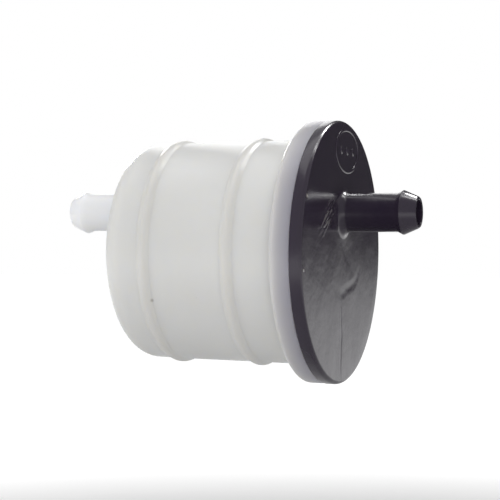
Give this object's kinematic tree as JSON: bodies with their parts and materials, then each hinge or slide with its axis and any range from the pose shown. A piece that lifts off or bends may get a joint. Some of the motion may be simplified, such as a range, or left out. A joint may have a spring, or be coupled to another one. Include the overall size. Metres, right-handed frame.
{
  "type": "in-line fuel filter",
  "caption": "Sealed in-line fuel filter: a white moulded cup and black cap, each with an offset barbed hose spigot, round a pleated paper element.",
  "frame": {"origin": "centre of the black cap's outer face, on the body's axis", "axes": "+X along the body's axis in the direction of flow, out of the cap; +Z towards the side that both spigots are offset to"},
  "size_m": [0.0781, 0.0544, 0.0544],
  "materials": {
    "natural_nylon": "milky translucent, satin",
    "black_nylon": "moulded, glossy",
    "plate_nylon": "moulded, satin",
    "filter_paper": "resin-treated filter paper",
    "potting_urethane": "poured, satin",
    "seal_rubber": "moulded, matte",
    "clip_steel": "rolled strip"
  },
  "bodies": {
    "root": {"cup_housing": "natural_nylon", "outlet_cap": "black_nylon", "element_seal_ring": "seal_rubber", "outlet_end_plate": "plate_nylon", "outlet_potting": "potting_urethane", "pleated_paper": "filter_paper", "pleat_seam_clip": "clip_steel", "centre_tube": "plate_nylon", "inlet_potting": "potting_urethane", "inlet_end_plate": "plate_nylon"}
  },
  "joints": []
}
